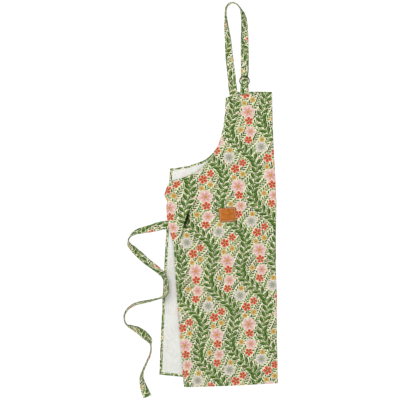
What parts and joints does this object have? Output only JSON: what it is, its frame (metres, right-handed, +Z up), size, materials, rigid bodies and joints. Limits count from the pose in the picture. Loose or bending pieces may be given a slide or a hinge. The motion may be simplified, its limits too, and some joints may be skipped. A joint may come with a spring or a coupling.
{
  "type": "folded bib apron",
  "caption": "Printed cotton bib apron, folded once and laid flat, with neck strap and ring, waist ties, a patch pocket and a leather label.",
  "frame": {"origin": "on the surface that the apron lies on, under the middle of its box", "axes": "+Y from the hem to the neck strap, +X from the waist tie to the fold, +Z up from the surface"},
  "size_m": [0.479, 1.2296, 0.0284],
  "materials": {
    "print_cotton": "matt woven cotton, printed on the right side",
    "strap_cotton": "matt woven cotton, printed",
    "ring_metal": "dark nickel wire",
    "label_leather": "smooth brown leather, bare"
  },
  "bodies": {
    "root": {"panel": "print_cotton", "pocket": "print_cotton", "neck_strap": "strap_cotton", "strap_foot": "strap_cotton", "ring_tab": "strap_cotton", "tie_front": "strap_cotton", "tie_back": "strap_cotton", "ring": "ring_metal", "label": "label_leather"}
  },
  "joints": []
}
